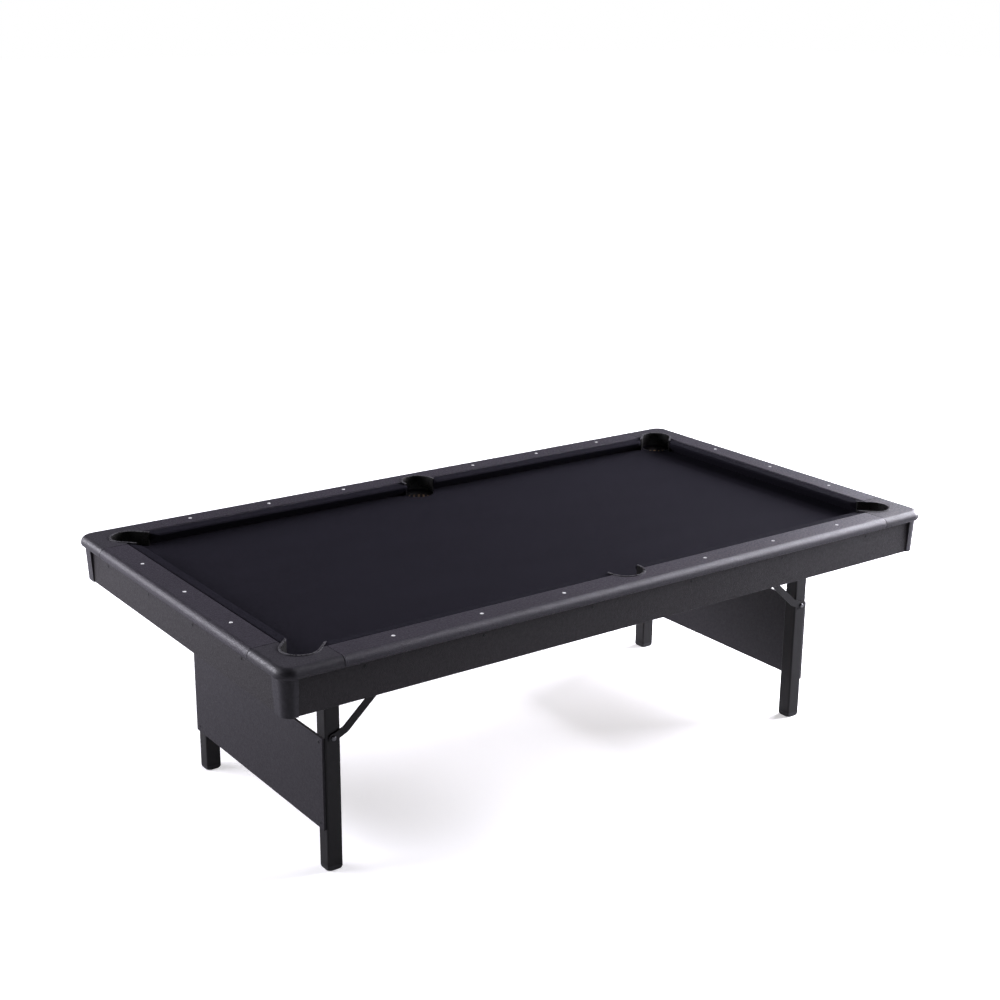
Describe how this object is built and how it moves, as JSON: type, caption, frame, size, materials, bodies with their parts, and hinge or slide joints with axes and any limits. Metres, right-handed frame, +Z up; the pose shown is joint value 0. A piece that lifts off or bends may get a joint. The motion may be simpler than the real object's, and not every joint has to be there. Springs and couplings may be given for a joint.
{
  "type": "folding-leg pool table",
  "caption": "Eight-foot pool table with cushioned rails and pocket baskets on two inward-folding, braced leg frames.",
  "frame": {"origin": "on the floor under the centre of the table", "axes": "+X along the table's length, +Y across it, +Z up"},
  "size_m": [2.466, 1.372, 0.7886],
  "materials": {
    "bed_board": "raw fibreboard",
    "cloth": "napped billiard cloth",
    "rail_laminate": "fine-grained charcoal wrap",
    "apron_laminate": "fine-grained charcoal wrap",
    "liner_plastic": "moulded, satin",
    "basket_plastic": "moulded, black",
    "corner_plastic": "moulded, satin",
    "cushion_cloth": "cloth wrapped over rubber",
    "sight_pearl": "white, glossy",
    "screw_black": "black",
    "beam_wood": "raw fibreboard",
    "bracket_steel": "zinc-plated",
    "bolt_steel": "dulled zinc plate",
    "leg_paint": "satin charcoal powder coat",
    "panel_laminate": "charcoal laminate",
    "foot_plastic": "moulded, black",
    "brace_paint": "black powder coat"
  },
  "bodies": {
    "table": {"playfield_bed": "bed_board", "bed_cloth": "cloth", "top_rail_front": "rail_laminate", "apron_front": "apron_laminate", "pocket_liner_front_middle": "liner_plastic", "pocket_basket_front_middle": "basket_plastic", "corner_cap_front_left": "corner_plastic", "cushion_front_left": "cushion_cloth", "pocket_liner_front_left": "liner_plastic", "pocket_basket_front_left": "basket_plastic", "corner_cap_front_right": "corner_plastic", "cushion_front_right": "cushion_cloth", "pocket_liner_front_right": "liner_plastic", "pocket_basket_front_right": "basket_plastic", "top_rail_back": "rail_laminate", "apron_back": "apron_laminate", "pocket_liner_back_middle": "liner_plastic", "pocket_basket_back_middle": "basket_plastic", "corner_cap_back_left": "corner_plastic", "cushion_back_left": "cushion_cloth", "pocket_liner_back_left": "liner_plastic", "pocket_basket_back_left": "basket_plastic", "corner_cap_back_right": "corner_plastic", "cushion_back_right": "cushion_cloth", "pocket_liner_back_right": "liner_plastic", "pocket_basket_back_right": "basket_plastic", "top_rail_left": "rail_laminate", "apron_left": "apron_laminate", "cushion_left_end": "cushion_cloth", "top_rail_right": "rail_laminate", "apron_right": "apron_laminate", "cushion_right_end": "cushion_cloth", "sight_inlays": "sight_pearl", "apron_screws": "screw_black", "bed_long_beams": "beam_wood", "bed_cross_beams": "beam_wood", "leg_hinge_brackets": "bracket_steel", "leg_hinge_pins": "bolt_steel", "brace_guides": "bracket_steel"},
    "left_leg_frame": {"left_front_leg": "leg_paint", "left_back_leg": "leg_paint", "left_leg_panel": "panel_laminate", "left_foot_caps": "foot_plastic", "left_panel_screws": "screw_black", "left_brace_bolts": "bolt_steel"},
    "right_leg_frame": {"right_front_leg": "leg_paint", "right_back_leg": "leg_paint", "right_leg_panel": "panel_laminate", "right_foot_caps": "foot_plastic", "right_panel_screws": "screw_black", "right_brace_bolts": "bolt_steel"},
    "left_front_brace": {"left_front_brace": "brace_paint"},
    "left_back_brace": {"left_back_brace": "brace_paint"},
    "right_front_brace": {"right_front_brace": "brace_paint"},
    "right_back_brace": {"right_back_brace": "brace_paint"}
  },
  "joints": [
    {"name": "left_leg_fold", "type": "hinge", "parent": "table", "child": "left_leg_frame", "pos_m": [-0.937, 0, 0.69], "axis": [0, -1, 0], "range_deg": [0, 90]},
    {"name": "left_front_brace_turn", "type": "hinge", "parent": "left_leg_frame", "child": "left_front_brace", "pos_m": [-0.937, -0.4238, 0.423], "axis": [0, -1, 0], "range_deg": [-129.65, 0]},
    {"name": "left_back_brace_turn", "type": "hinge", "parent": "left_leg_frame", "child": "left_back_brace", "pos_m": [-0.937, 0.4238, 0.423], "axis": [0, -1, 0], "range_deg": [-129.65, 0]},
    {"name": "right_leg_fold", "type": "hinge", "parent": "table", "child": "right_leg_frame", "pos_m": [0.937, 0, 0.69], "axis": [0, 1, 0], "range_deg": [0, 90]},
    {"name": "right_front_brace_turn", "type": "hinge", "parent": "right_leg_frame", "child": "right_front_brace", "pos_m": [0.937, -0.4238, 0.423], "axis": [0, 1, 0], "range_deg": [-129.65, 0]},
    {"name": "right_back_brace_turn", "type": "hinge", "parent": "right_leg_frame", "child": "right_back_brace", "pos_m": [0.937, 0.4238, 0.423], "axis": [0, 1, 0], "range_deg": [-129.65, 0]}
  ],
  "couplings": [
    {"joint": "left_front_brace_turn", "follows": "left_leg_fold", "ratio": -1.4383},
    {"joint": "left_back_brace_turn", "follows": "left_leg_fold", "ratio": -1.4383},
    {"joint": "right_front_brace_turn", "follows": "right_leg_fold", "ratio": -1.4383},
    {"joint": "right_back_brace_turn", "follows": "right_leg_fold", "ratio": -1.4383}
  ]
}
